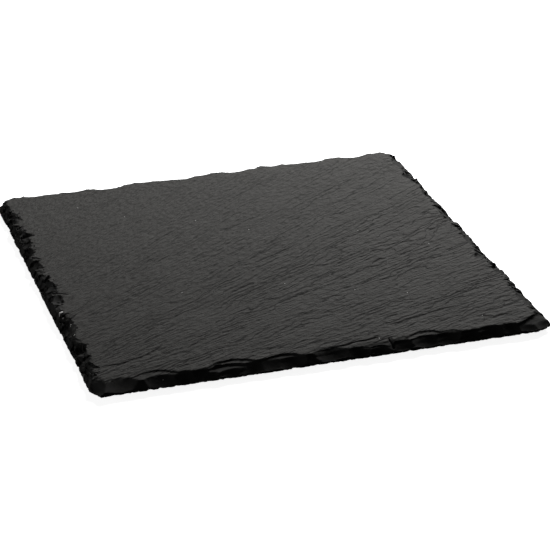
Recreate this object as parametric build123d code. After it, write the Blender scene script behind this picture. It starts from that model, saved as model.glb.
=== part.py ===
from build123d import *

import os
import random
from math import atan2, cos, degrees, radians, sin, sqrt

# A riven slate serving board with a hand-dressed edge, on four stick-on foam feet.
# Millimetres. X runs along the front edge, Y towards the back and Z up.
# The origin is on the table, under the middle of the board.

# Slab, measured at its underside, where it is widest
BOARD_WIDTH = 300.0
BOARD_DEPTH = 300.0
SLAB_THICKNESS = 7.0

# How much of each corner is knocked off, along X and along Y
CORNER_KNOCKS = {
    "front_left": (5.0, 10.0),
    "front_right": (11.0, 5.0),
    "rear_right": (6.0, 7.0),
    "rear_left": (9.0, 5.0),
}

# Ordinary flake scars of the front and the rear
SCAR_PITCH = 14.0
SCAR_PITCH_SCATTER = 2.5
SCAR_BITE_LEAST = 5.4
SCAR_BITE_MOST = 8.6
SCAR_LIP_LEAST = 0.4
SCAR_LIP_MOST = 2.0
SCAR_HOLLOW_LEAST = 0.25
SCAR_HOLLOW_MOST = 0.55

# Left and right were dressed with light blows: a steep slope below, and short gentle facets above it
SLOPE_BITE = 3.0
SLOPE_LIP = 0.6
FACET_PITCH = 6.0
FACET_PITCH_SCATTER = 1.6
FACET_WIDTH_LEAST = 5.0
FACET_WIDTH_MOST = 12.0
FACET_LEAN_MOST = 15.0
FACET_BITE_LEAST = 6.0
FACET_BITE_MOST = 10.0
FACET_LIP_LEAST = 1.6
FACET_LIP_MOST = 4.2

# Larger scars, in order along each side: place, bite into the top face, lip left below, hollow
LARGE_SCARS = {
    "front": [
        (-131.0, 10.5, 1.8, 0.5),
        (-107.0, 8.8, 0.8, 0.5),
        (-62.0, 7.2, 0.6, 0.45),
        (-25.0, 8.0, 0.7, 0.5),
        (2.0, 9.8, 1.2, 0.55),
        (20.0, 6.5, 0.8, 0.5),
        (65.0, 9.2, 1.0, 0.55),
        (78.0, 8.5, 0.8, 0.5),
    ],
    "right": [
        (-46.0, 9.6, 2.4, 0.35),
        (-20.0, 10.2, 2.8, 0.4),
        (24.0, 10.4, 2.6, 0.35),
        (61.0, 9.4, 2.0, 0.35),
        (124.0, 10.2, 2.6, 0.35),
    ],
    "rear": [
        (-94.0, 8.4, 0.9, 0.5),
        (-69.0, 11.6, 1.4, 0.65),
        (-14.0, 9.6, 0.8, 0.6),
        (26.0, 8.2, 0.8, 0.5),
        (117.0, 9.2, 1.2, 0.5),
    ],
    "left": [
        (-120.0, 10.6, 2.6, 0.4),
        (-90.0, 11.8, 3.2, 0.4),
        (-55.0, 9.6, 2.4, 0.35),
        (-25.0, 13.4, 3.8, 0.5),
        (1.0, 13.2, 3.8, 0.45),
        (80.0, 13.4, 3.8, 0.5),
        (113.0, 11.2, 3.0, 0.4),
    ],
}

# Broad flat facets of the front: place, bite into the top face, lip left below, width, lean
BROAD_FACETS = {
    "front": [
        (25.0, 12.5, 4.3, 36.0, 1.2),
        (48.0, 9.0, 3.4, 9.0, 4.0),
    ],
    "rear": [],
}

# Thin layers that peeled back past the scars: place, length at the side, reach in from it, drop from the top
PEELED_LAYERS = {
    "front": [
        (-110.0, 40.0, 13.0, 1.0),
        (-61.0, 41.0, 12.6, 1.1),
        (-64.0, 37.0, 9.2, 2.4),
        (-29.0, 34.0, 10.2, 1.4),
        (65.0, 34.0, 12.2, 0.9),
    ],
    "rear": [
        (-94.0, 42.0, 11.6, 1.2),
        (26.0, 44.0, 11.4, 1.0),
    ],
}

# The scar across each knocked-off corner
CORNER_SCAR_BITE = 8.0
CORNER_SCAR_LIP = 1.0
CORNER_SCAR_HOLLOW = 0.6

# Step where a layer has broken away at the front right corner
CORNER_STEP_ALONG_FRONT = 30.0
CORNER_STEP_ALONG_RIGHT = 18.5
CORNER_STEP_DROP = 2.0
CORNER_STEP_SLOPE = 9.0
CORNER_STEP_DIP = 5.0
CORNER_STEP_RISER_RUN = 0.8

# Grain of the split face: it fans out from a point beyond the front left corner
GRAIN_ANGLE = 32.0
GRAIN_FAN_DISTANCE = 600.0

# Slivers that lifted along the grain when the block was split
TOP_ROW_PITCH = 13.0
UNDERSIDE_ROW_PITCH = 22.0
SLIVER_ROW_SCATTER = 2.0
SLIVER_LENGTH_LEAST = 28.0
SLIVER_LENGTH_MOST = 90.0
SLIVER_GAP_MOST = 36.0
SLIVER_WIDTH_LEAST = 1.8
SLIVER_WIDTH_MOST = 5.0
SLIVER_DEPTH_LEAST = 0.15
SLIVER_DEPTH_MOST = 0.4
SLIVER_SHARE_FACING_FRONT = 0.75

# The one deep pit of the face, right of the middle
PIT_PLACE = (74.0, -35.0)
PIT_LENGTH = 18.0
PIT_WIDTH = 4.5
PIT_DEPTH = 0.9

# Feet: die-cut foam discs on double-sided adhesive
FOOT_INSET = 30.0
PAD_DIAMETER = 14.0
PAD_THICKNESS = 2.0
PAD_BEVEL = 0.4
ADHESIVE_THICKNESS = 0.2
ADHESIVE_MARGIN = 0.3

SCATTER_SEED = 7

UP = Vector(0, 0, 1)
HUNG = (Align.CENTER, Align.CENTER, Align.MAX)
UNDERSIDE = PAD_THICKNESS + ADHESIVE_THICKNESS
TOP = UNDERSIDE + SLAB_THICKNESS
HALF_WIDTH = BOARD_WIDTH / 2
HALF_DEPTH = BOARD_DEPTH / 2

# Which way each corner lies from the middle of the board
CORNERS = {
    "front_left": (-1, -1),
    "front_right": (1, -1),
    "rear_right": (1, 1),
    "rear_left": (-1, 1),
}

# The direction along each side, the direction into the slab, the side's length and its distance from the middle
SIDES = {
    "front": (Vector(1, 0, 0), Vector(0, 1, 0), BOARD_WIDTH, HALF_DEPTH),
    "right": (Vector(0, 1, 0), Vector(-1, 0, 0), BOARD_DEPTH, HALF_WIDTH),
    "rear": (Vector(1, 0, 0), Vector(0, -1, 0), BOARD_WIDTH, HALF_DEPTH),
    "left": (Vector(0, 1, 0), Vector(1, 0, 0), BOARD_DEPTH, HALF_WIDTH),
}


def corner_cut(corner):
    """The two ends of a knocked-off corner: on the front or rear side, then on the left or right side."""
    across, back = CORNERS[corner]
    knock_x, knock_y = CORNER_KNOCKS[corner]
    end_on_length = Vector(across * (HALF_WIDTH - knock_x), back * HALF_DEPTH, UNDERSIDE)
    end_on_side = Vector(across * HALF_WIDTH, back * (HALF_DEPTH - knock_y), UNDERSIDE)
    return end_on_length, end_on_side


def slab_blank():
    """The slab before its edge is dressed: the outline with its corners knocked off, raised to full thickness."""
    points = []
    for corner, (across, back) in CORNERS.items():
        ends = corner_cut(corner)
        points += ends if across == -back else ends[::-1]
    outline = make_face(Polyline(*points, close=True))
    return extrude(outline, SLAB_THICKNESS, dir=UP)


def edge_slope(seat, inward, bite, lip):
    """A straight slope of the edge above `seat`: its middle, its length and the direction out of it.

    It runs from the side, `lip` above the underside, to the top face, `bite` in from the side.
    """
    rise = SLAB_THICKNESS - lip
    middle = seat + inward * (bite / 2) + UP * (lip + rise / 2)
    outward = (UP * bite - inward * rise).normalized()
    return middle, sqrt(bite**2 + rise**2), outward


def flake_scar(seat, along, inward, bite, lip, hollow):
    """Ball that leaves one shell-shaped scar above `seat`, sunk by `hollow` below its straight slope."""
    middle, chord, outward = edge_slope(seat, inward, bite, lip)
    radius = chord**2 / (8 * hollow) + hollow / 2
    centre = middle + outward * (radius - hollow)
    return Plane(centre, x_dir=outward, z_dir=along) * Sphere(radius)


def facet(seat, along, inward, bite, lip, width, lean):
    """Block that leaves one flat facet above `seat`, leaning by `lean` degrees along the side.

    Its deeper end lies on the straight slope from `lip` to `bite`.
    """
    middle, chord, outward = edge_slope(seat, inward, bite, lip)
    raised = middle + outward * (width / 2 * sin(radians(abs(lean))))
    floor = Plane(raised, x_dir=along, z_dir=outward).rotated((0, lean, 0))
    return floor * Box(width, 3 * chord, chord, align=(Align.CENTER, Align.CENTER, Align.MIN))


def dressed_slope(side):
    """Block that takes the upper edge off one whole side in a straight slope."""
    along, inward, length, distance = SIDES[side]
    seat = inward * -distance + UP * UNDERSIDE
    middle, chord, outward = edge_slope(seat, inward, SLOPE_BITE, SLOPE_LIP)
    block = Box(length, 3 * chord, chord, align=(Align.CENTER, Align.CENTER, Align.MIN))
    return Plane(middle, x_dir=along, z_dir=outward) * block


def side_facets(side, scatter):
    """Short facets at a loose pitch along one side."""
    along, inward, length, distance = SIDES[side]
    middle = inward * -distance + UP * UNDERSIDE
    spaces = round(length / FACET_PITCH)
    facets = []
    for step in range(1, spaces):
        place = length * (step / spaces - 0.5) + scatter.uniform(-FACET_PITCH_SCATTER, FACET_PITCH_SCATTER)
        bite = scatter.uniform(FACET_BITE_LEAST, FACET_BITE_MOST)
        lip = scatter.uniform(FACET_LIP_LEAST, FACET_LIP_MOST)
        width = scatter.uniform(FACET_WIDTH_LEAST, FACET_WIDTH_MOST)
        lean = scatter.uniform(-FACET_LEAN_MOST, FACET_LEAN_MOST)
        facets.append(facet(middle + along * place, along, inward, bite, lip, width, lean))
    return facets


def large_scars(side):
    """The larger scars of one side."""
    along, inward, length, distance = SIDES[side]
    middle = inward * -distance + UP * UNDERSIDE
    large = [scar for scar in LARGE_SCARS[side] if abs(scar[0]) < length / 2]
    return [flake_scar(middle + along * place, along, inward, *sizes) for place, *sizes in large]


def broad_facets(side):
    """The broad flat facets of one side."""
    along, inward, length, distance = SIDES[side]
    middle = inward * -distance + UP * UNDERSIDE
    broad = [flat for flat in BROAD_FACETS[side] if abs(flat[0]) < length / 2]
    return [facet(middle + along * place, along, inward, *sizes) for place, *sizes in broad]


def ordinary_scars(side, scatter):
    """Ordinary scars at a loose pitch between the larger ones of one side."""
    along, inward, length, distance = SIDES[side]
    middle = inward * -distance + UP * UNDERSIDE
    stops = [-length / 2, *(scar[0] for scar in LARGE_SCARS[side] if abs(scar[0]) < length / 2), length / 2]
    scars = []
    for start, end in zip(stops, stops[1:]):
        spaces = max(1, round((end - start) / SCAR_PITCH))
        for step in range(1, spaces):
            place = start + (end - start) * step / spaces
            place += scatter.uniform(-SCAR_PITCH_SCATTER, SCAR_PITCH_SCATTER)
            bite = scatter.uniform(SCAR_BITE_LEAST, SCAR_BITE_MOST)
            lip = scatter.uniform(SCAR_LIP_LEAST, SCAR_LIP_MOST)
            hollow = scatter.uniform(SCAR_HOLLOW_LEAST, SCAR_HOLLOW_MOST)
            scars.append(flake_scar(middle + along * place, along, inward, bite, lip, hollow))
    return scars


def peeled_layers(side):
    """Blocks under the layers that peeled off one side, each down to a level shelf inside an arc."""
    along, inward, length, distance = SIDES[side]
    blocks = []
    for place, chord, reach, drop in PEELED_LAYERS[side]:
        if abs(place) < length / 2:
            start = (0, -chord / 2)
            end = (0, chord / 2)
            outline = make_face(Line(start, end) + ThreePointArc(end, (reach, 0), start))
            shelf = Plane(inward * -distance + along * place + UP * (TOP - drop), x_dir=inward, z_dir=UP)
            blocks.append(shelf * extrude(outline, SLAB_THICKNESS))
    return blocks


def corner_scar(corner):
    """The scar across one knocked-off corner."""
    first, last = corner_cut(corner)
    along = (last - first).normalized()
    inward = UP.cross(along)
    middle = (first + last) / 2
    if inward.dot(middle) > 0:
        inward = -inward
    return flake_scar(middle, along, inward, CORNER_SCAR_BITE, CORNER_SCAR_LIP, CORNER_SCAR_HOLLOW)


def corner_step():
    """Block that lifts the broken layer off the front right corner, down to a slightly sloping ledge."""
    on_front = Vector(HALF_WIDTH - CORNER_STEP_ALONG_FRONT, -HALF_DEPTH, TOP)
    on_right = Vector(HALF_WIDTH, -HALF_DEPTH + CORNER_STEP_ALONG_RIGHT, TOP)
    along = on_right - on_front
    reach = along.length
    ledge = Plane((on_front + on_right) / 2, x_dir=along, z_dir=UP)
    ledge = ledge.offset(-CORNER_STEP_DROP).rotated((CORNER_STEP_SLOPE, CORNER_STEP_DIP, 0))
    top_of_riser = (CORNER_STEP_RISER_RUN * reach / CORNER_STEP_DROP, reach)
    profile = Polyline((0, 0), top_of_riser, (-reach, reach), (-reach, 0), close=True)
    across = Plane(ledge.origin, x_dir=ledge.y_dir, z_dir=ledge.x_dir)
    return across * extrude(make_face(profile), reach, both=True)


def grain_ray(offset):
    """Direction of the grain along the ray that passes `offset` to the left of the middle of the board."""
    angle = radians(GRAIN_ANGLE) + atan2(offset, GRAIN_FAN_DISTANCE)
    return Vector(cos(angle), sin(angle), 0)


def sliver(place, outward, ray, length, width, depth):
    """Wedge under one lifted sliver: it fades out along its straight side and is `depth` deep under its arc."""
    start = (-length / 2, 0)
    end = (length / 2, 0)
    outline = make_face(Line(end, start) + ThreePointArc(start, (0, width), end))
    sink = degrees(atan2(depth, width))
    return Plane(place, x_dir=ray, z_dir=outward) * Rot(-sink, 0, 0) * extrude(outline, SLAB_THICKNESS)


def is_clear_of_feet(place, reach):
    """Whether nothing within `reach` of a place on the underside comes under a foot."""
    room = reach + PAD_DIAMETER / 2
    return all((foot_place(corner) - place).length > room for corner in CORNERS)


def split_face_slivers(level, outward, row_pitch, scatter):
    """Rows of slivers over one split face, each row along its own ray of the grain's fan."""
    apex = grain_ray(0) * -GRAIN_FAN_DISTANCE + UP * level
    half_diagonal = sqrt(HALF_WIDTH**2 + HALF_DEPTH**2)
    rows = int(half_diagonal / row_pitch)
    slivers = []
    for row in range(-rows, rows + 1):
        ray = grain_ray(row * row_pitch + scatter.uniform(-SLIVER_ROW_SCATTER, SLIVER_ROW_SCATTER))
        distance = GRAIN_FAN_DISTANCE - half_diagonal + scatter.uniform(0, SLIVER_LENGTH_MOST)
        while distance < GRAIN_FAN_DISTANCE + half_diagonal:
            length = scatter.uniform(SLIVER_LENGTH_LEAST, SLIVER_LENGTH_MOST)
            width = scatter.uniform(SLIVER_WIDTH_LEAST, SLIVER_WIDTH_MOST)
            depth = scatter.uniform(SLIVER_DEPTH_LEAST, SLIVER_DEPTH_MOST)
            facing = 1 if scatter.random() < SLIVER_SHARE_FACING_FRONT else -1
            place = apex + ray * (distance + length / 2)
            on_the_board = abs(place.X) < HALF_WIDTH and abs(place.Y) < HALF_DEPTH
            is_top = outward.Z > 0
            if on_the_board and (is_top or is_clear_of_feet(place, length / 2 + width)):
                slivers.append(sliver(place, outward, ray * facing, length, width, depth))
            distance += length + scatter.uniform(0, SLIVER_GAP_MOST)
    return slivers


def slate_slab():
    """The slab: split along its layers, then dressed by flaking its upper edge all round."""
    scatter = random.Random(SCATTER_SEED)
    cuts = [corner_scar(corner) for corner in CORNERS]
    cuts.append(corner_step())
    for side in ("front", "rear"):
        cuts += large_scars(side) + broad_facets(side) + ordinary_scars(side, scatter) + peeled_layers(side)
    for side in ("left", "right"):
        cuts += [dressed_slope(side)] + large_scars(side) + side_facets(side, scatter)
    cuts += split_face_slivers(TOP, UP, TOP_ROW_PITCH, scatter)
    cuts += split_face_slivers(UNDERSIDE, -UP, UNDERSIDE_ROW_PITCH, scatter)
    cuts.append(sliver(Vector(*PIT_PLACE, TOP), UP, grain_ray(0), PIT_LENGTH, PIT_WIDTH, PIT_DEPTH))
    return slab_blank() - cuts


def foot_place(corner):
    """Where the middle of a foot meets the slab's underside."""
    across, back = CORNERS[corner]
    return Vector(across * (HALF_WIDTH - FOOT_INSET), back * (HALF_DEPTH - FOOT_INSET), UNDERSIDE)


def foot_adhesive():
    """Thin adhesive disc, hung from the slab's underside."""
    return Cylinder(PAD_DIAMETER / 2 - ADHESIVE_MARGIN, ADHESIVE_THICKNESS, align=HUNG)


def foot_pad():
    """Foam disc under the adhesive, with its lower rim bevelled."""
    disc = Cylinder(PAD_DIAMETER / 2, PAD_THICKNESS, align=HUNG)
    return Pos(0, 0, -ADHESIVE_THICKNESS) * chamfer(disc.edges().group_by(Axis.Z)[0], PAD_BEVEL)


nodes = {"slate_slab": slate_slab()}
for corner in CORNERS:
    nodes[f"foot_adhesive_{corner}"] = Pos(foot_place(corner)) * foot_adhesive()
    nodes[f"foot_pad_{corner}"] = Pos(foot_place(corner)) * foot_pad()

os.makedirs("parts", exist_ok=True)
for name, piece in nodes.items():
    export_step(piece, f"parts/{name}.step")
    print(name, round(piece.volume, 1), "mm3")
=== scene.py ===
# %% [markdown]
# # A slate serving board
# The real board is a slab of slate that was split along its layers, then dressed by flaking its upper edge
# all round. It stands on four stick-on foam feet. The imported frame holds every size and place, so this file
# only gives the stone its broken skin and each piece its finish.

# %% Load the frame
from math import radians

import bmesh
import bpy
import numpy as np
from mathutils import Matrix, Vector
from mathutils.kdtree import KDTree


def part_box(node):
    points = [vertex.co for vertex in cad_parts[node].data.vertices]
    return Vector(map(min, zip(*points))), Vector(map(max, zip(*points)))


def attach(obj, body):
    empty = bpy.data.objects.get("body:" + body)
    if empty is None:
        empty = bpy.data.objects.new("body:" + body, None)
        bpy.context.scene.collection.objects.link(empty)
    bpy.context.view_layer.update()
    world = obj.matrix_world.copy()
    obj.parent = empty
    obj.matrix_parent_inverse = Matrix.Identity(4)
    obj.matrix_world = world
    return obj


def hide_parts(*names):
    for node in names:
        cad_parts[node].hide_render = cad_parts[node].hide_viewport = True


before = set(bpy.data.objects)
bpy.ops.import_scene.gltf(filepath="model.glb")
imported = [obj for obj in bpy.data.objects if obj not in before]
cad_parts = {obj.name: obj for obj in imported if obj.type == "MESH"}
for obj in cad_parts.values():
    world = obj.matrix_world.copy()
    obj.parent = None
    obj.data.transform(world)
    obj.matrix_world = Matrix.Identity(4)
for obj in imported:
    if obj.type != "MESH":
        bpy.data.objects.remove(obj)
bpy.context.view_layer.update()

slab_low, slab_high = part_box("slate_slab")
CORNERS = ("front_left", "front_right", "rear_right", "rear_left")
print("the slab lies between", tuple(slab_low), "and", tuple(slab_high))

# %% [markdown]
# ## Camera
# The picture was taken from the front and a little to the left, from far away with a long lens, so the far
# edge is hardly shorter than the near one. Turning, tilting and backing off from one target keeps each of
# those choices a number of its own.

# %% Camera
CAMERA_AZIMUTH = radians(-17.279)
CAMERA_ELEVATION = radians(25.727)
CAMERA_ROLL = radians(-0.23)
CAMERA_DISTANCE = 1.5209
CAMERA_TARGET = Vector((0.00525, -0.01908, slab_low.z))
CAMERA_LENS = 149.59

bpy.ops.object.select_all(action="DESELECT")
bpy.ops.object.camera_add()
camera = bpy.context.object
camera.data.lens = CAMERA_LENS
turn = Matrix.Rotation(CAMERA_AZIMUTH, 4, "Z")
tilt = Matrix.Rotation(radians(90) - CAMERA_ELEVATION, 4, "X")
back_off = Matrix.Translation((0, 0, CAMERA_DISTANCE))
roll = Matrix.Rotation(CAMERA_ROLL, 4, "Z")
camera.matrix_world = Matrix.Translation(CAMERA_TARGET) @ turn @ tilt @ back_off @ roll
bpy.context.scene.camera = camera
bpy.context.scene.view_settings.view_transform = "Standard"
print("camera at", tuple(camera.matrix_world.translation))

# %% [markdown]
# ## Helpers for nodes and selections
# Every material below is a small graph. One function adds a node and sets or links its inputs, so that a
# material reads as a list of what it is made of.


# %% Helpers
def add_node(tree, kind, settings=None, **inputs):
    """A new node with its settings made and its inputs set to values or linked to sockets."""
    node = tree.nodes.new(kind)
    for name, value in (settings or {}).items():
        setattr(node, name, value)
    for name, value in inputs.items():
        key = int(name[1:]) if name[0] == "i" and name[1:].isdigit() else name.replace("_", " ")
        if isinstance(value, bpy.types.NodeSocket):
            tree.links.new(value, node.inputs[key])
        else:
            node.inputs[key].default_value = value
    return node


def math_node(tree, operation, first, second=0.0, third=0.0):
    """The output of one sum."""
    settings = {"operation": operation}
    return add_node(tree, "ShaderNodeMath", settings, i0=first, i1=second, i2=third).outputs[0]


def vector_node(tree, operation, first, second=(0.0, 0.0, 0.0)):
    """The vector output of one vector sum."""
    settings = {"operation": operation}
    return add_node(tree, "ShaderNodeVectorMath", settings, i0=first, i1=second).outputs[0]


def split_vector(tree, vector):
    """The X, Y and Z outputs of a vector."""
    return add_node(tree, "ShaderNodeSeparateXYZ", i0=vector).outputs


def remap(tree, value, low, high, to_low=0.0, to_high=1.0):
    """A value eased from one range to another and held at its ends."""
    settings = {"interpolation_type": "SMOOTHSTEP"}
    node = add_node(tree, "ShaderNodeMapRange", settings, Value=value)
    for socket, number in zip(node.inputs[1:5], (low, high, to_low, to_high)):
        socket.default_value = number
    return node.outputs[0]


def mix_colours(tree, factor, first, second, blend="MIX"):
    """Two colours mixed by a factor."""
    settings = {"data_type": "RGBA", "blend_type": blend}
    return add_node(tree, "ShaderNodeMix", settings, i0=factor, i6=first, i7=second).outputs[2]


def new_material(name):
    """A material with its node tree, its shader and the surface's place in millimetres."""
    material = bpy.data.materials.new(name)
    material.use_nodes = True
    tree = material.node_tree
    shader = tree.nodes["Principled BSDF"]
    place = add_node(tree, "ShaderNodeTexCoord").outputs["Object"]
    millimetres = vector_node(tree, "MULTIPLY", place, (1000.0, 1000.0, 1000.0))
    return material, tree, shader, millimetres


def add_bump(tree, shader, height, strength, distance):
    """Raise the shader's surface by a height times a distance in metres."""
    bump = add_node(tree, "ShaderNodeBump", Height=height, Strength=strength, Distance=distance)
    tree.links.new(bump.outputs[0], shader.inputs["Normal"])


def select_only(piece):
    """Make one piece the only selected and the active one."""
    bpy.ops.object.select_all(action="DESELECT")
    piece.select_set(True)
    bpy.context.view_layer.objects.active = piece


# %% [markdown]
# ## Floor and light
# The board was lit by one large soft light behind it and to the right, so the split face shines softly
# towards the back while the flaked edges at the front fall almost to black. A weak, low light from the left
# picks out the facets on that side. The floor is white to the eye, but gives little light back, because a
# bright floor would fill those dark edges.

# %% Floor and light
FLOOR_SIZE = 8.0
FLOOR_WHITE = 0.80
FLOOR_GLOW = 0.90
FLOOR_BOUNCE = 0.04
WORLD_LIGHT = 0.02
KEY_SIZE = (0.5, 0.4)
KEY_PLACE = Vector((0.50, 0.68, 0.53))
KEY_POWER = 16.9
FILL_SIZE = (0.9, 0.4)
FILL_PLACE = Vector((-1.6, 0.2, 0.3))
FILL_POWER = 4.0


def seen_directly(tree):
    """1 where the eye, a mirror or glass looks at the surface, and 0 where it only bounces light."""
    path = add_node(tree, "ShaderNodeLightPath").outputs
    seen = math_node(tree, "MAXIMUM", path["Is Camera Ray"], path["Is Glossy Ray"])
    return math_node(tree, "MAXIMUM", seen, path["Is Transmission Ray"])


def make_floor():
    """A white floor that shows the board's shadow and gives little light back to it."""
    bpy.ops.object.select_all(action="DESELECT")
    bpy.ops.mesh.primitive_plane_add(size=FLOOR_SIZE)
    floor = bpy.context.object
    floor.name = "studio_floor"
    material, tree, shader, _ = new_material("studio_floor")
    seen = seen_directly(tree)
    shade = math_node(tree, "MULTIPLY_ADD", seen, FLOOR_WHITE - FLOOR_BOUNCE, FLOOR_BOUNCE)
    colour = add_node(tree, "ShaderNodeCombineColor", Red=shade, Green=shade, Blue=shade).outputs[0]
    tree.links.new(colour, shader.inputs["Base Color"])
    tree.links.new(math_node(tree, "MULTIPLY", seen, FLOOR_GLOW), shader.inputs["Emission Strength"])
    shader.inputs["Emission Color"].default_value = (1.0, 1.0, 1.0, 1.0)
    shader.inputs["Roughness"].default_value = 0.9
    shader.inputs["Specular IOR Level"].default_value = 0.0
    floor.data.materials.append(material)


def add_softbox(name, place, size, power):
    """A soft rectangular light that faces the middle of the board."""
    bpy.ops.object.light_add(type="AREA", location=place)
    light = bpy.context.object
    light.name = name
    light.rotation_euler = place.to_track_quat("Z", "Y").to_euler()
    light.data.shape = "RECTANGLE"
    light.data.size, light.data.size_y = size
    light.data.energy = power


def light_world():
    """A dim surround for the light, and a white one for the eye."""
    world = bpy.data.worlds.new("studio")
    world.use_nodes = True
    bpy.context.scene.world = world
    seen = seen_directly(world.node_tree)
    strength = math_node(world.node_tree, "MULTIPLY_ADD", seen, 1.0 - WORLD_LIGHT, WORLD_LIGHT)
    background = world.node_tree.nodes["Background"]
    background.inputs["Color"].default_value = (1.0, 1.0, 1.0, 1.0)
    world.node_tree.links.new(strength, background.inputs["Strength"])


make_floor()
add_softbox("key_softbox", KEY_PLACE, KEY_SIZE, KEY_POWER)
add_softbox("side_softbox", FILL_PLACE, FILL_SIZE, FILL_POWER)
light_world()

# %% [markdown]
# ## The slab's body
# The frame's slab already has the large flake scars where the real one has them. Its triangles are too
# long to carry finer breaks, so a copy of it is welded and then remeshed to an even, close net. A sculptor
# would do the same before working clay: the net is the clay.

# %% The slab's body
NET_SIZE = 0.0005

slab = bpy.data.objects.new("riven_slab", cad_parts["slate_slab"].data.copy())
bpy.context.scene.collection.objects.link(slab)
select_only(slab)
bpy.ops.object.mode_set(mode="EDIT")
bpy.ops.mesh.select_all(action="SELECT")
bpy.ops.mesh.remove_doubles(threshold=1e-6)
bpy.ops.object.mode_set(mode="OBJECT")
net = slab.modifiers.new("close_net", "REMESH")
net.mode = "VOXEL"
net.voxel_size = NET_SIZE
bpy.ops.object.modifier_apply(modifier=net.name)
print("the close net has", len(slab.data.vertices), "points")

# %% [markdown]
# ## Reading and moving the net's points
# Modelling by formula needs the points as one array. Everything is worked out in millimetres, because the
# marks on the stone are that small, and smooth noise makes each mark uneven without a picture.

# %% Points and noise
NOISE_KNOTS = 512


def read_points(mesh):
    """The mesh's points, in millimetres, and their normals."""
    points = np.empty(len(mesh.vertices) * 3)
    normals = np.empty(len(mesh.vertices) * 3, dtype=np.float32)
    mesh.vertices.foreach_get("co", points)
    mesh.vertex_normals.foreach_get("vector", normals)
    return points.reshape(-1, 3) * 1000, normals.reshape(-1, 3)


def write_points(mesh, points):
    """Put the points back, in metres, inside the slab's own box."""
    inside = np.clip(points / 1000, np.array(slab_low), np.array(slab_high))
    mesh.vertices.foreach_set("co", inside.ravel())
    mesh.update()


def noise(first, second, seed):
    """Smooth random heights from -1 to 1 over a plane, with one knot in each unit."""
    knots = np.random.default_rng(seed).uniform(-1, 1, (NOISE_KNOTS, NOISE_KNOTS))
    low_first, low_second = np.floor(first).astype(int), np.floor(second).astype(int)
    part_first, part_second = first - low_first, second - low_second
    ease_first = part_first**2 * (3 - 2 * part_first)
    ease_second = part_second**2 * (3 - 2 * part_second)
    here_first, here_second = low_first % NOISE_KNOTS, low_second % NOISE_KNOTS
    next_first, next_second = (low_first + 1) % NOISE_KNOTS, (low_second + 1) % NOISE_KNOTS
    near, right = knots[here_first, here_second], knots[next_first, here_second]
    up, far = knots[here_first, next_second], knots[next_first, next_second]
    lower = near + (right - near) * ease_first
    upper = up + (far - up) * ease_first
    return lower + (upper - lower) * ease_second


def ease(value, low, high):
    """0 below low, 1 above high and smooth between."""
    part = np.clip((value - low) / (high - low), 0, 1)
    return part**2 * (3 - 2 * part)


TOP, UNDERSIDE = slab_high.z * 1000, slab_low.z * 1000
HALF_BOARD = slab_high.x * 1000
EDGE_WIDTH = 26.0

points, normals = read_points(slab.data)
print("top face at", round(TOP, 2), "mm and underside at", round(UNDERSIDE, 2), "mm")

# %% [markdown]
# ## Small chips along the edge
# Each blow of the dressing tool breaks off one large flake and many small ones. A chip is pressed like a
# ball into clay: the points inside the ball go out to its skin. The ball sits on a point of the broken
# edge, so chips follow the large scars. Wide, shallow balls roughen the slopes of the left and right sides,
# which were dressed with short blows, and small ones nibble their rims. The smallest make the teeth of the
# lower edge, most of them at the front and rear. The ledge at the front right corner broke along one layer,
# so it stays clean, and its tip is blunt.

# %% Small chips
LEDGE_ALONG_FRONT = 30.0
LEDGE_ALONG_RIGHT = 18.5
BLUNT_CORNER = 6.4
# The number of chips, their least and most radius, their least and most depth, and how much they lean.
SLOPE_CHIPS = (450, (6.0, 40.0), (0.10, 0.30), 0.25)
RIM_CHIPS = (350, (0.8, 3.5), (0.08, 0.25), 0.30)
LOWER_TEETH = (450, (0.8, 2.2), (0.25, 0.70), 0.30)

chance = np.random.default_rng(11)


def broken_edge(points, normals):
    """How far each point belongs to the broken edge rather than to a split face, from 0 to 1."""
    below_top = ease(TOP - points[:, 2], 0.55, 1.1)
    on_underside = ease(-normals[:, 2], 0.6, 0.85)
    return below_top * (1 - on_underside)


def corner_ledge(points):
    """How far each point belongs to the clean ledge at the front right corner, from 0 to 1."""
    x, y, z = points.T
    share = (HALF_BOARD - x) / LEDGE_ALONG_FRONT + (HALF_BOARD + y) / LEDGE_ALONG_RIGHT
    return ease(-share, -1.1, -1.0) * ease(z, UNDERSIDE + 1.5, UNDERSIDE + 2.5)


def ragged_sides(points):
    """How far each point belongs to the ragged left or right side, from 0 to 1."""
    off_corner = ease(points[:, 1], 10 - HALF_BOARD, 22 - HALF_BOARD)
    from_left, from_right = HALF_BOARD + points[:, 0], HALF_BOARD - points[:, 0]
    return off_corner * (1 - ease(from_left, 12, 24) + 0.5 * (1 - ease(from_right, 12, 24)))


def press_chips(points, tree, give, places, directions, radius, depth, tilt):
    """Press a shallow ball at each of the places, leaning a little from its direction by chance."""
    for place, direction in zip(places, directions):
        size = chance.uniform(*radius)
        sink = chance.uniform(*depth)
        lean = direction + chance.normal(0, tilt, 3)
        spot = points[place].copy()
        centre = spot + lean / np.linalg.norm(lean) * (size - sink)
        reach = 1.5 * np.sqrt(2 * size * sink)
        near = [index for _, index, _ in tree.find_range(spot, reach)]
        away = points[near] - centre
        distance = np.linalg.norm(away, axis=1)
        hold = 1 - ease(np.linalg.norm(points[near] - spot, axis=1), 0.8 * reach, reach)
        push = np.clip(size - distance, 0, None) * hold * give[near]
        points[near] += away * (push / distance)[:, None]


rim = np.flatnonzero(np.abs(points[:, :2]).max(axis=1) > HALF_BOARD - EDGE_WIDTH)
edge_points, edge_normals = points[rim], normals[rim]
tree = KDTree(len(rim))
for index, point in enumerate(edge_points):
    tree.insert(point, index)
tree.balance()

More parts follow.
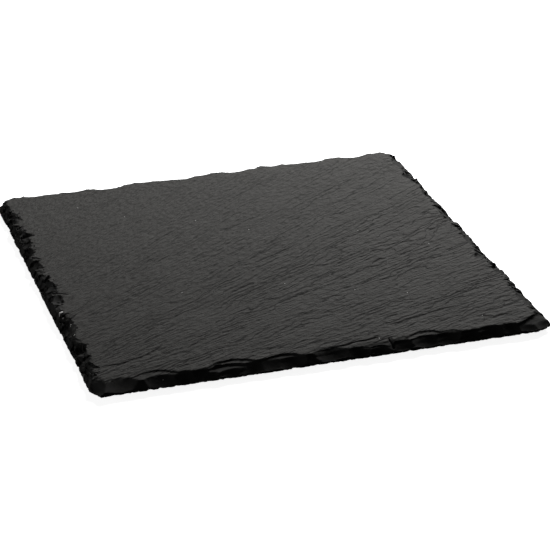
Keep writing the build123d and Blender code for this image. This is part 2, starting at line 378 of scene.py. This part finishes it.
broken = broken_edge(edge_points, edge_normals)
ragged = ragged_sides(edge_points)
above_arris = ease(edge_points[:, 2], UNDERSIDE, UNDERSIDE + 1.5)
give = (1 - 0.85 * corner_ledge(edge_points)) * (0.2 + 0.8 * above_arris)
slope = broken > 0.5
below_rim = slope & (edge_points[:, 2] < TOP - 1.5)
brink = (broken > 0.02) & (broken < 0.6) & (edge_points[:, 2] > TOP - 1.2)
arris = slope & (edge_points[:, 2] < UNDERSIDE + 0.5)
outward = edge_normals * (1, 1, 0.4)
downward = edge_normals + np.array((0, 0, -1.0))
for likely, directions, soft, (count, radius, depth, lean) in (
    (below_rim * ragged, edge_normals, give, SLOPE_CHIPS),
    (brink * ragged, outward, give, RIM_CHIPS),
    (arris * (1 - 0.95 * ragged), downward, np.ones(len(rim)), LOWER_TEETH),
):
    picks = chance.choice(len(rim), count, p=likely / likely.sum())
    press_chips(edge_points, tree, soft, picks, directions[picks], radius, depth, lean)
points[rim] = edge_points
beyond = np.clip(points[:, 0] - points[:, 1] - (2 * HALF_BOARD - BLUNT_CORNER), 0, None)
points[:, 0] -= beyond / 2
points[:, 1] += beyond / 2
write_points(slab.data, points)
print("chips pressed into", int(slope.sum()), "points of the edge")

# %% [markdown]
# ## Broken layers on the edge
# On the ragged sides each short blow left one flat facet that leans outwards. The edge is shared out among
# scattered seeds, and each cell gets its own lean and its own start, so the rim comes out jagged. A facet
# cuts down what stands above it, and on the left it also fills hollows below it.
#
# Slate breaks along its layers as well as across them, so a scar is a pile of thin flakes with ragged ends.
# Space is divided among scattered seeds, flat as flakes are, and each cell's skin sinks by its own depth
# and tilt. That is a solid form of the cell pattern that is often used for stone walls. Short blows also
# leave ribs that run in from the side. Last, heights are gathered into level shelves in some places, as
# where one layer peeled further back than the next.

# %% Broken layers
FACET_CELL = np.array((9.0, 4.5, 1.0))
FACET_START = (4.0, 10.5)
FACET_SLOPE = (0.28, 0.75)
FACET_REACH = 3.5
FACET_FILL = 2.0
FACET_FOOT = 1.2
FACET_DROP = 3.0
FACET_WAVER = 1.2
FACET_WAVER_LENGTH = 4.0
FLAKE_TABLE = 48
LAYER_CELL = np.array((9.0, 9.0, 1.5))
HACKLE_CELL = np.array((2.2, 3.4, 1.6))
LAYER_SINK = 0.40
HACKLE_SINK = 0.45
RIB_WIDTH = 1.6
RIB_LENGTH = 9.0
RIB_SINK = 0.60
EDGE_ROUGHNESS = 0.08
SHELF_THICKNESS = 2.2
SHELF_TREAD = 0.70
SHELF_REACH = 1.2


def flake_cells(places, seed):
    """Four chance numbers of the cell that each place belongs to, and the place's offset from its seed."""
    table = np.random.default_rng(seed).uniform(0, 1, (FLAKE_TABLE, FLAKE_TABLE, FLAKE_TABLE, 7))
    home = np.floor(places).astype(int)
    nearest = np.full(len(places), np.inf)
    numbers, offsets = np.zeros((len(places), 4)), np.zeros((len(places), 3))
    for step in np.ndindex(3, 3, 3):
        cell = home + np.array(step) - 1
        entry = table[tuple((cell % FLAKE_TABLE).T)]
        offset = places - cell - entry[:, :3]
        distance = (offset**2).sum(axis=1)
        closer = distance < nearest
        nearest[closer] = distance[closer]
        numbers[closer] = entry[closer, 3:]
        offsets[closer] = offset[closer]
    return numbers, offsets


def flake_depth(places, seed):
    """The depth from 0 to about 1 of the flake that each place belongs to, tilted from end to end."""
    numbers, offsets = flake_cells(places, seed)
    return np.clip(numbers[:, 0] + ((numbers[:, 1:] - 0.5) * offsets).sum(axis=1), 0, 1.3)


points, normals = read_points(slab.data)
edge_points = points[rim]
x, y, z = edge_points.T
flat = edge_points * (1, 1, 0)
waver_x, waver_y = x / FACET_WAVER_LENGTH, y / FACET_WAVER_LENGTH
flat[:, :2] += FACET_WAVER * np.stack((noise(waver_x, waver_y, 31), noise(waver_x, waver_y, 32)), axis=1)
numbers, _ = flake_cells(flat / FACET_CELL, 33)
facet_start = FACET_START[0] + (FACET_START[1] - FACET_START[0]) * numbers[:, 0]
facet_slope = FACET_SLOPE[0] + (FACET_SLOPE[1] - FACET_SLOPE[0]) * numbers[:, 1]
from_side = HALF_BOARD - np.abs(x)
facet = TOP - facet_slope * np.clip(facet_start - from_side, 0, None)
facet = np.maximum(facet, UNDERSIDE + FACET_FOOT)
facet_foot = facet - FACET_DROP * np.clip(facet_start - FACET_REACH - from_side, 0, None)
on_side = ease(ragged_sides(edge_points), 0.1, 0.4)
on_left = on_side * ease(-x, 100, 120) * ease(normals[rim][:, 2], -0.5, -0.1)
z += on_left * np.clip(facet_foot - z, 0, FACET_FILL) - on_side * np.clip(z - facet, 0, None)
points[rim] = edge_points
write_points(slab.data, points)

points, normals = read_points(slab.data)
edge_points, edge_normals = points[rim], normals[rim]
broken = broken_edge(edge_points, edge_normals)
ragged = ragged_sides(edge_points)
steep = ease(1 - edge_normals[:, 2], 0.05, 0.4)
clean = corner_ledge(edge_points)
x, y, z = edge_points.T
wander = np.stack((noise(x / 5, y / 5, 21), noise(x / 5, y / 5, 22), 0.7 * noise(x / 11, y / 11, 23)), axis=1)
sink = LAYER_SINK * (0.3 + 0.7 * ragged) * flake_depth(edge_points / LAYER_CELL + 0.35 * wander, 24)
sink += HACKLE_SINK * (0.2 + 0.8 * ragged) * flake_depth(edge_points / HACKLE_CELL + 0.2 * wander, 25)
ribs = np.abs(noise(y / RIB_WIDTH + wander[:, 0], x / RIB_LENGTH, 30))
sink += RIB_SINK * ragged * (1 - ease(ribs, 0, 0.5)) * ease(wander[:, 1], -0.3, 0.3)
sink += EDGE_ROUGHNESS * (1 + noise(x / 0.9 + z, y / 0.9 - z, 26))
above_arris = ease(z, UNDERSIDE + 0.2, UNDERSIDE + 1.8)
sink *= broken * (0.15 + 0.85 * above_arris) * (0.2 + 0.8 * steep) * (1 - 0.85 * clean)
edge_points -= edge_normals * sink[:, None]

z = edge_points[:, 2]
lift = 1.4 * noise(x / 20, y / 20, 27) + 0.25 * noise(x / 4, y / 4, 28)
level = (TOP - z + lift) / SHELF_THICKNESS
part = level - np.floor(level)
shelf = TOP + lift - SHELF_THICKNESS * (np.floor(level) + ease(part, SHELF_TREAD, 1))
patch = broken * steep * (1 - clean) * (1 - ragged) * ease(noise(x / 16, y / 16, 29), -0.2, 0.15)
edge_points[:, 2] += patch * above_arris * np.clip(shelf - z, -SHELF_REACH, SHELF_REACH)
points[rim] = edge_points
write_points(slab.data, points)
print("layers sunk by up to", round(float(sink.max()), 2), "mm")

# %% [markdown]
# ## The split face
# Splitting leaves a riven face: long low steps that run with the grain, which fans out from a point beyond
# the front left corner. Each step rises suddenly on its front side and falls away slowly behind, so a saw
# profile across the fan makes them, with noise to bend, end and join them. They only ever cut down, so the
# board stays as thick as the frame says.

# %% The split face
GRAIN_ANGLE = radians(32)
GRAIN_FAN_DISTANCE = 600.0
STEP_SPACING = 6.0
STEP_RISE = 0.36
RISER_SHARE = 0.12


def grain_places(x, y):
    """Places along and across the grain's fan, in millimetres from the middle of the board."""
    from_apex_x = x + GRAIN_FAN_DISTANCE * np.cos(GRAIN_ANGLE)
    from_apex_y = y + GRAIN_FAN_DISTANCE * np.sin(GRAIN_ANGLE)
    along = np.hypot(from_apex_x, from_apex_y) - GRAIN_FAN_DISTANCE
    across = (np.arctan2(from_apex_y, from_apex_x) - GRAIN_ANGLE) * GRAIN_FAN_DISTANCE
    return along, across


def riven_depth(x, y, seed):
    """How deep the split face lies below its highest layer, in millimetres."""
    along, across = grain_places(x, y)
    bend = 1.5 * noise(along / 46, across / 13, seed) + 0.45 * noise(along / 12, across / 5, seed + 1)
    bend += 0.2 * noise(along / 3.5, across / 2.5, seed + 2)
    phase = across / STEP_SPACING + bend
    part = phase - np.floor(phase)
    saw = part - ease(part, 1 - RISER_SHARE, 1)
    present = ease(noise(along / 55, across / 8, seed + 3), -0.45, 0.35)
    strength = 0.3 + 0.7 * ease(x * 0.45 - y * 0.75, -110, 70)
    swell = 0.10 * noise(along / 60, across / 22, seed + 4)
    return STEP_RISE * saw * present * strength + swell + 0.1


points, normals = read_points(slab.data)
x, y, z = points.T
on_top = ease(z, TOP - 1.4, TOP - 0.25) * ease(normals[:, 2], 0.1, 0.5)
depth = np.clip(riven_depth(x, y, 40), 0, None)
z -= on_top * depth
print("the split face is", round(float(depth.max()), 2), "mm deep at most")

# %% [markdown]
# ## Marks on the split face
# A few marks are strong enough to know this board by: long steps where a layer ends, and short cracks that
# run in from the flaked edge. Each is a line of a few listed points. A step sinks suddenly on its front side
# and comes back slowly, and a crack is a narrow groove that closes towards its inner end. Four flecks of
# mineral, painted near white in the slate as a glint, stand a little proud of the broken stone on the left.
# A last sway of the whole face makes every line waver as breaks do.

# %% Marks on the face
# The line of each step, its depth and the width over which it comes back.
STEP_MARKS = (
    (((-145, -123), (-126, -122), (-111, -118), (-98, -110), (-87, -98)), 0.50, 5.0),
    (((-136, -107), (-119, -95)), 0.30, 4.0),
    (((-12, -14), (12, -1), (35, 12)), 0.35, 6.0),
    (((40, -125), (72, -117), (105, -108)), 0.45, 7.0),
    (((6, -142), (15, -139), (25, -138.4), (33, -137.8), (41, -138)), 0.70, 3.5),
)
STEP_MARK_RISER = 0.5
CRACK_MARKS = (
    ((-144, -15), (-140, -16), (-137.3, -17.4), (-134, -20)),
    ((-147, 81), (-142.7, 80.7), (-137, 79.4)),
    ((-144, -56), (-140.7, -53), (-136, -47)),
    ((-145, -88.5), (-141.5, -90.3), (-138, -92.6)),
    ((-145.5, -116), (-144.7, -126), (-143, -136)),
    ((-145, 3), (-141.8, 1.4), (-138, -6)),
    ((-142.7, 112), (-139, 118)),
    ((-145, 42), (-142.8, 40.8), (-139.5, 38)),
    ((-146, -30), (-141, -33)),
    ((42, -148), (41, -138.5)),
)
CRACK_WIDTH = 1.4
CRACK_DEPTH = 1.1
# The place of each fleck, its radius and how strongly it shows.
PLACED_FLECKS = (
    (-145.2, -43.0, 1.5, 1.0),
    (-144.6, -47.2, 0.8, 1.0),
    (-142.7, -60.4, 0.7, 0.8),
    (-144.4, -76.7, 0.7, 0.8),
)
FLECK_RISE = 0.9


def along_line(x, y, line):
    """Each place's distance from a line of points, its side of the line and its share of the way along."""
    line = np.array(line, dtype=float)
    lengths = np.hypot(*np.diff(line, axis=0).T)
    starts = np.cumsum(lengths) - lengths
    nearest = np.full(len(x), np.inf)
    side = np.zeros(len(x))
    share = np.zeros(len(x))
    for start, run, length, before in zip(line, np.diff(line, axis=0), lengths, starts):
        run_x, run_y = run / length
        along = np.clip((x - start[0]) * run_x + (y - start[1]) * run_y, 0, length)
        off_x = x - start[0] - along * run_x
        off_y = y - start[1] - along * run_y
        closer = np.hypot(off_x, off_y) < nearest
        nearest = np.where(closer, np.hypot(off_x, off_y), nearest)
        side = np.where(closer, run_x * off_y - run_y * off_x, side)
        share = np.where(closer, (before + along) / lengths.sum(), share)
    return nearest, side, share


marks = np.zeros(len(points))
for line, depth, width in STEP_MARKS:
    distance, side, share = along_line(x, y, line)
    fade = 1 - np.where(side < 0, ease(distance, 0.2, width), ease(distance, 0, STEP_MARK_RISER))
    marks += depth * fade * ease(share, 0, 0.2) * ease(1 - share, 0, 0.3)
for line in CRACK_MARKS:
    distance, _, share = along_line(x, y, line)
    groove = 1 - ease(distance, 0, CRACK_WIDTH * (1 - 0.7 * share))
    marks += CRACK_DEPTH * groove * ease(1 - share, 0, 0.3)
z -= marks * ease(z, UNDERSIDE + 1.5, UNDERSIDE + 3) * ease(normals[:, 2], 0.1, 0.5)
for fleck_x, fleck_y, radius, _ in PLACED_FLECKS:
    raised = 1 - ease(np.hypot(x - fleck_x, y - fleck_y), 0.3 * radius, 1.5 * radius)
    z += FLECK_RISE * raised * ease(normals[:, 2], -0.2, 0.2)
sway_x = 0.7 * noise(x / 7, y / 7, 35) + 0.35 * noise(x / 3, y / 3, 36)
sway_y = 0.7 * noise(x / 7, y / 7, 37) + 0.35 * noise(x / 3, y / 3, 38)
x += on_top * sway_x
y += on_top * sway_y
print("marked with", len(STEP_MARKS), "steps and", len(CRACK_MARKS), "cracks")

# %% [markdown]
# ## The underside
# The other face was split from the block too, so it is riven in the same way. It stays flat where the
# feet are stuck on.

# %% The underside
SEAT_RADIUS = 9.0

seats = [sum(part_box(f"foot_pad_{corner}"), Vector()) / 2 * 1000 for corner in CORNERS]
clear = np.ones(len(points))
for seat in seats:
    clear *= ease(np.hypot(x - seat.x, y - seat.y), SEAT_RADIUS, SEAT_RADIUS * 2)
under = ease(-z, -UNDERSIDE - 1.2, -UNDERSIDE - 0.25) * ease(-normals[:, 2], 0.1, 0.5)
z += under * clear * np.clip(riven_depth(x, y, 60), 0, None)
write_points(slab.data, points)
print("the underside is flat within", SEAT_RADIUS, "mm of each foot")

# %% [markdown]
# ## Thinning the net
# Level treads need few faces, and risers and ridges many. Collapsing edges where the surface is flattest
# keeps the breaks crisp with a fraction of the faces. Shading is then smooth except across sharp ridges.

# %% Thinning
MOST_TRIANGLES = 190000
RIDGE_ANGLE = radians(24)

select_only(slab)
triangles = sum(len(face.vertices) - 2 for face in slab.data.polygons)
thin = slab.modifiers.new("thin_net", "DECIMATE")
thin.ratio = MOST_TRIANGLES / triangles
bpy.ops.object.modifier_apply(modifier=thin.name)
bpy.ops.object.shade_smooth_by_angle(angle=RIDGE_ANGLE)
write_points(slab.data, read_points(slab.data)[0])
print("thinned from", triangles, "to", len(slab.data.polygons), "faces")

# %% [markdown]
# ## A speckle that three finishes share
# Stone, foam and glue are all slightly uneven at their own small scale. A node group is the way to build
# such an effect once: each material gives it a place and a size, and takes back a value round one half.


# %% Speckle
def make_speckle():
    """The node group of the shared speckle."""
    group = bpy.data.node_groups.new("speckle", "ShaderNodeTree")
    group.interface.new_socket("Place", in_out="INPUT", socket_type="NodeSocketVector")
    group.interface.new_socket("Size", in_out="INPUT", socket_type="NodeSocketFloat")
    group.interface.new_socket("Value", in_out="OUTPUT", socket_type="NodeSocketFloat")
    given = group.nodes.new("NodeGroupInput").outputs
    sides = {axis: given["Size"] for axis in "XYZ"}
    size = add_node(group, "ShaderNodeCombineXYZ", **sides).outputs[0]
    place = vector_node(group, "DIVIDE", given["Place"], size)
    coarse = add_node(
        group, "ShaderNodeTexNoise", Vector=place, Scale=1.0, Detail=2.0, Roughness=0.6
    ).outputs[0]
    fine = add_node(group, "ShaderNodeTexNoise", Vector=place, Scale=2.7, Detail=1.0).outputs[0]
    value = math_node(group, "MULTIPLY_ADD", fine, 0.4, math_node(group, "MULTIPLY", coarse, 0.6))
    add_node(group, "NodeGroupOutput", Value=value)
    return group


def speckle(tree, place, size):
    """The speckle's value at a place in millimetres, with blotches of a size in millimetres."""
    return add_node(tree, "ShaderNodeGroup", {"node_tree": SPECKLE}, Place=place, Size=size).outputs["Value"]


SPECKLE = make_speckle()
print("speckle group has", len(SPECKLE.nodes), "nodes")

# %% [markdown]
# ## Slate
# Slate is a dark grey stone with a soft sheen. Thin dark lines run along the grain where layers end; they are
# painted shade at the sudden rise of each step. The rest is finely pitted, and a few flecks of mineral are
# painted near white, a painted glint. The broken edge is duller than the split faces and painted darker, a
# painted shade on its steep slopes and on the risers of the split face. Where the edge begins is read from
# the height and the slope of the stone itself.

# %% Slate
SLATE_DARK = (0.043, 0.0422, 0.0405, 1.0)
SLATE_LIGHT = (0.073, 0.0715, 0.0685, 1.0)
# Painted shade for the dark line at the rise of each step.
SLATE_CREASE_SHADE = (0.009, 0.009, 0.0087, 1.0)
# Broken stone is painted darker, a painted shade on steep slopes and risers.
SLATE_BROKEN_SHADE = (0.046, 0.0455, 0.0445, 1.0)
# Near white for the flecks, a painted glint of mineral.
FLECK_GLINT_COLOUR = (0.85, 0.84, 0.82, 1.0)
FLECK_SPACING = 36.0
FLECK_SHARE = 0.3
LINE_SPACING = 3.9
GRIT_SIZE = 0.8
# Heights in millimetres.
LINE_RELIEF = 0.22
STREAK_RELIEF = 0.24
PIMPLE_RELIEF = 1.4
GRIT_RELIEF = 0.22


def grain_vector(tree, millimetres):
    """The place along the grain, across it and up, in millimetres, as the split face uses it."""
    apex = (-GRAIN_FAN_DISTANCE * np.cos(GRAIN_ANGLE), -GRAIN_FAN_DISTANCE * np.sin(GRAIN_ANGLE), 0.0)
    from_apex = split_vector(tree, vector_node(tree, "SUBTRACT", millimetres, apex))
    squares = math_node(tree, "MULTIPLY", from_apex[0], from_apex[0])
    squares = math_node(tree, "MULTIPLY_ADD", from_apex[1], from_apex[1], squares)
    along = math_node(tree, "SQRT", squares)
    angle = math_node(tree, "ARCTAN2", from_apex[1], from_apex[0])
    across = math_node(tree, "MULTIPLY", angle, GRAIN_FAN_DISTANCE)
    return add_node(tree, "ShaderNodeCombineXYZ", X=along, Y=across, Z=from_apex[2]).outputs[0]


def stretched_noise(tree, vector, length, width, detail=3.0, roughness=0.55):
    """Noise whose blotches are `length` long and `width` wide, in millimetres."""
    scaled = vector_node(tree, "DIVIDE", vector, (length, width, width))
    return add_node(
        tree, "ShaderNodeTexNoise", Vector=scaled, Scale=1.0, Detail=detail, Roughness=roughness
    ).outputs[0]


def grain_lines(tree, grain, spacing):
    """A saw profile across the grain, from -1 to 0, and the painted shade of the dark line at its sudden
    rise.
    """
    across = split_vector(tree, grain)[1]
    bend = stretched_noise(tree, grain, spacing * 13, spacing * 2.4, detail=3.0, roughness=0.6)
    phase = math_node(tree, "MULTIPLY_ADD", bend, 5.0, math_node(tree, "DIVIDE", across, spacing))
    part = math_node(tree, "FRACT", phase)
    saw = math_node(tree, "SUBTRACT", remap(tree, part, 0.80, 1.0), part)
    # Painted shade: a dark line where the sudden rise faces away from the light.
    crease_shade = math_node(tree, "MULTIPLY", remap(tree, part, 0.70, 0.85), remap(tree, part, 1.0, 0.92))
    return saw, crease_shade


def make_slate():
    """The stone of the slab."""
    material, tree, shader, millimetres = new_material("slate")
    grain = grain_vector(tree, millimetres)
    place = split_vector(tree, millimetres)
    facing = add_node(tree, "ShaderNodeNewGeometry").outputs["True Normal"]
    upward = split_vector(tree, facing)[2]
    below_top = remap(tree, place[2], TOP - 0.9, TOP - 1.4, 0.0, 0.85)
    # Steep faces, the risers of the split face among them, count as broken, so their darker colour is painted
    # shade.
    broken = math_node(tree, "MAXIMUM", remap(tree, upward, 0.965, 0.93), below_top)
    broken = math_node(tree, "MULTIPLY", broken, remap(tree, upward, -0.85, -0.6))

    slant = math_node(tree, "MULTIPLY_ADD", place[1], -0.75, math_node(tree, "MULTIPLY", place[0], 0.45))
    lively = remap(tree, slant, -110.0, 70.0, 0.35, 1.0)
    present = remap(tree, stretched_noise(tree, grain, 60.0, 8.0), 0.34, 0.56)
    present = math_node(tree, "MULTIPLY", present, lively)
    saw, crease_shade = grain_lines(tree, grain, LINE_SPACING)
    crease_shade = math_node(tree, "MULTIPLY", crease_shade, present)
    streaks = stretched_noise(tree, grain, 14.0, 0.9)
    mottle = stretched_noise(tree, millimetres, 26.0, 26.0)
    pimples = stretched_noise(tree, grain, 5.0, 2.4, detail=2.0)
    grit = speckle(tree, millimetres, GRIT_SIZE)

    tone = math_node(tree, "MULTIPLY_ADD", streaks, 0.8, -0.25)
    tone = math_node(tree, "MULTIPLY_ADD", mottle, 0.4, tone)
    tone = math_node(tree, "MULTIPLY_ADD", grit, 0.5, math_node(tree, "SUBTRACT", tone, 0.1))
    colour = mix_colours(tree, tone, SLATE_DARK, SLATE_LIGHT)
    # Painted shade: the dark lines at the rises are mixed into the colour.
    colour = mix_colours(tree, math_node(tree, "MULTIPLY", crease_shade, 0.8), colour, SLATE_CREASE_SHADE)
    # Painted shade: broken and steep stone is darker in the colour.
    colour = mix_colours(tree, broken, colour, SLATE_BROKEN_SHADE)

    # Scattered flecks and the placed ones are painted near white, a painted glint.
    scaled = vector_node(tree, "DIVIDE", millimetres, (FLECK_SPACING, FLECK_SPACING, FLECK_SPACING))
    settings = {"voronoi_dimensions": "2D"}
    cells = add_node(tree, "ShaderNodeTexVoronoi", settings, Vector=scaled, Scale=1.0).outputs
    near_seed = remap(tree, cells["Distance"], 0.011, 0.006, 0.0, 0.6)
    lot = add_node(tree, "ShaderNodeSeparateColor", i0=cells["Color"]).outputs[0]
    picked = math_node(tree, "LESS_THAN", lot, FLECK_SHARE)
    fleck_glint = math_node(tree, "MULTIPLY", near_seed, picked)
    for x, y, radius, strength in PLACED_FLECKS:
        offset = vector_node(tree, "SUBTRACT", millimetres, (x, y, 0.0))
        offset = vector_node(tree, "MULTIPLY", offset, (1.0, 1.0, 0.0))
        away = add_node(tree, "ShaderNodeVectorMath", {"operation": "LENGTH"}, i0=offset).outputs["Value"]
        fleck_glint = math_node(tree, "MAXIMUM", fleck_glint, remap(tree, away, radius, radius * 0.6, 0.0, strength))
    fleck_glint = math_node(tree, "MULTIPLY", fleck_glint, remap(tree, place[2], UNDERSIDE + 1.0, UNDERSIDE + 2.0))
    colour = mix_colours(tree, fleck_glint, colour, FLECK_GLINT_COLOUR)
    tree.links.new(colour, shader.inputs["Base Color"])

    roughness = remap(tree, streaks, 0.3, 0.7, 0.75, 0.65)
    roughness = math_node(tree, "MULTIPLY_ADD", broken, 0.12, roughness)
    tree.links.new(roughness, shader.inputs["Roughness"])
    split = math_node(tree, "SUBTRACT", 1.0, broken)
    tree.links.new(math_node(tree, "MULTIPLY", split, 0.012), shader.inputs["Specular IOR Level"])

    relief = math_node(tree, "MULTIPLY", math_node(tree, "MULTIPLY", saw, present), LINE_RELIEF)
    relief = math_node(tree, "MULTIPLY_ADD", streaks, STREAK_RELIEF, relief)
    relief = math_node(tree, "MULTIPLY_ADD", pimples, PIMPLE_RELIEF, relief)
    relief = math_node(tree, "MULTIPLY", relief, split)
    relief = math_node(tree, "MULTIPLY_ADD", grit, GRIT_RELIEF, relief)
    add_bump(tree, shader, relief, 1.0, 0.001)
    return material


slate = make_slate()
slab.data.materials.clear()
slab.data.materials.append(slate)
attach(slab, "root")
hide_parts("slate_slab")
print("slate has", len(slate.node_tree.nodes), "nodes")

# %% [markdown]
# ## Foam feet
# Each foot is a disc cut from a sheet of black foam. The cutter squeezes the foam, so its side comes out
# drawn in at the middle, and its rims are a little rounded. One disc is added at its size, cut into rings,
# waisted and bevelled, and then copied to the other corners.

# %% Foam feet
FOOT_SIDES = 72
FOOT_RINGS = 3
FOOT_WAIST = 0.955
FOOT_RIM = 0.0004
FOOT_INSET = 0.0012

foot_low, foot_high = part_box(f"foot_pad_{CORNERS[0]}")
foot_middle = (foot_low + foot_high) / 2
foot_radius = (foot_high.x - foot_low.x) / 2
foot_height = foot_high.z - foot_low.z


def choose(piece, kind, wanted):
    """Select the points, edges or faces of the piece in edit mode that pass a test."""
    shape = bmesh.from_edit_mesh(piece.data)
    bpy.ops.mesh.select_all(action="DESELECT")
    bpy.ops.mesh.select_mode(type=kind)
    for part in {"VERT": shape.verts, "EDGE": shape.edges, "FACE": shape.faces}[kind]:
        part.select_set(bool(wanted(part)))
    bmesh.update_edit_mesh(piece.data)


def at_rim(point):
    """Whether a point is on the upper or the lower rim of the foot."""
    return abs(abs(point.co.z - foot_middle.z) - foot_height / 2) < 1e-6


bpy.ops.object.select_all(action="DESELECT")
bpy.ops.mesh.primitive_cylinder_add(
    vertices=FOOT_SIDES, radius=foot_radius, depth=foot_height, location=foot_middle
)
foot = bpy.context.object
foot.name = f"foam_foot_{CORNERS[0]}"
bpy.ops.object.transform_apply(location=True, rotation=True, scale=True)
bpy.ops.object.mode_set(mode="EDIT")
choose(foot, "EDGE", lambda edge: abs(edge.verts[0].co.z - edge.verts[1].co.z) > foot_height / 2)
bpy.ops.mesh.subdivide(number_cuts=FOOT_RINGS)
choose(foot, "VERT", lambda point: abs(point.co.z - foot_middle.z) < 1e-6)
bpy.ops.transform.resize(
    value=(FOOT_WAIST, FOOT_WAIST, 1.0), center_override=foot_middle,
    use_proportional_edit=True, proportional_edit_falloff="SMOOTH", proportional_size=foot_height * 0.45
)
choose(foot, "EDGE", lambda edge: all(at_rim(point) for point in edge.verts))
bpy.ops.mesh.bevel(offset=FOOT_RIM, segments=3, affect="EDGES")
choose(foot, "FACE", lambda face: abs(face.normal.z) > 0.99)
bpy.ops.mesh.inset(thickness=FOOT_INSET)
bpy.ops.object.mode_set(mode="OBJECT")
bpy.ops.object.shade_smooth_by_angle(angle=radians(40))
feet = [foot]
for corner in CORNERS[1:]:
    low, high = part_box(f"foot_pad_{corner}")
    mesh = foot.data.copy()
    mesh.transform(Matrix.Translation((low + high) / 2 - foot_middle))
    feet.append(bpy.data.objects.new(f"foam_foot_{corner}", mesh))
    bpy.context.scene.collection.objects.link(feet[-1])
print("feet", [f.name for f in feet], "with", len(foot.data.polygons), "faces each")

# %% [markdown]
# ## Foam and glue
# The foam is black and fine-celled, so it is covered with tiny round pit hollows, each painted darker at its
# middle, a painted shade. The glue is a thin pale sheet that shows only as a line between foam and stone.

# %% Foam and glue
FOAM_CELL = 0.35
FOAM_BLOTCH = 1.6
GLUE_BLOTCH = 1.2
FOAM_DARK = (0.012, 0.012, 0.0125, 1.0)
FOAM_LIGHT = (0.030, 0.030, 0.031, 1.0)
GLUE_DARK = (0.46, 0.45, 0.41, 1.0)
GLUE_LIGHT = (0.64, 0.63, 0.59, 1.0)


def make_foam():
    """The fine-celled foam of the feet."""
    material, tree, shader, millimetres = new_material("foot_foam")
    scaled = vector_node(tree, "DIVIDE", millimetres, (FOAM_CELL, FOAM_CELL, FOAM_CELL))
    pits_and_pit_shade = add_node(tree, "ShaderNodeTexVoronoi", Vector=scaled, Scale=1.0).outputs["Distance"]
    blotches = math_node(tree, "MULTIPLY", speckle(tree, millimetres, FOAM_BLOTCH), 0.6)
    # Painted shade: the hollow of each pit is darker in the colour.
    tone = math_node(tree, "MULTIPLY_ADD", pits_and_pit_shade, 0.6, blotches)
    tree.links.new(mix_colours(tree, tone, FOAM_DARK, FOAM_LIGHT), shader.inputs["Base Color"])
    tree.links.new(remap(tree, pits_and_pit_shade, 0.2, 0.7, 0.95, 0.80), shader.inputs["Roughness"])
    add_bump(tree, shader, pits_and_pit_shade, 0.6, 0.0001)
    return material


def make_glue():
    """The pale double-sided sheet that holds a foot to the stone."""
    material, tree, shader, millimetres = new_material("foot_adhesive")
    blotches = speckle(tree, millimetres, GLUE_BLOTCH)
    tree.links.new(mix_colours(tree, blotches, GLUE_DARK, GLUE_LIGHT), shader.inputs["Base Color"])
    tree.links.new(remap(tree, blotches, 0.3, 0.7, 0.5, 0.35), shader.inputs["Roughness"])
    add_bump(tree, shader, blotches, 0.3, 0.00005)
    return material


foam, glue = make_foam(), make_glue()
for corner, foot in zip(CORNERS, feet):
    foot.data.materials.clear()
    foot.data.materials.append(foam)
    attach(foot, "root")
    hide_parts(f"foot_pad_{corner}")
    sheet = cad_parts[f"foot_adhesive_{corner}"]
    for slot in sheet.material_slots:
        slot.material = glue
print("foam and glue on", len(feet), "feet")
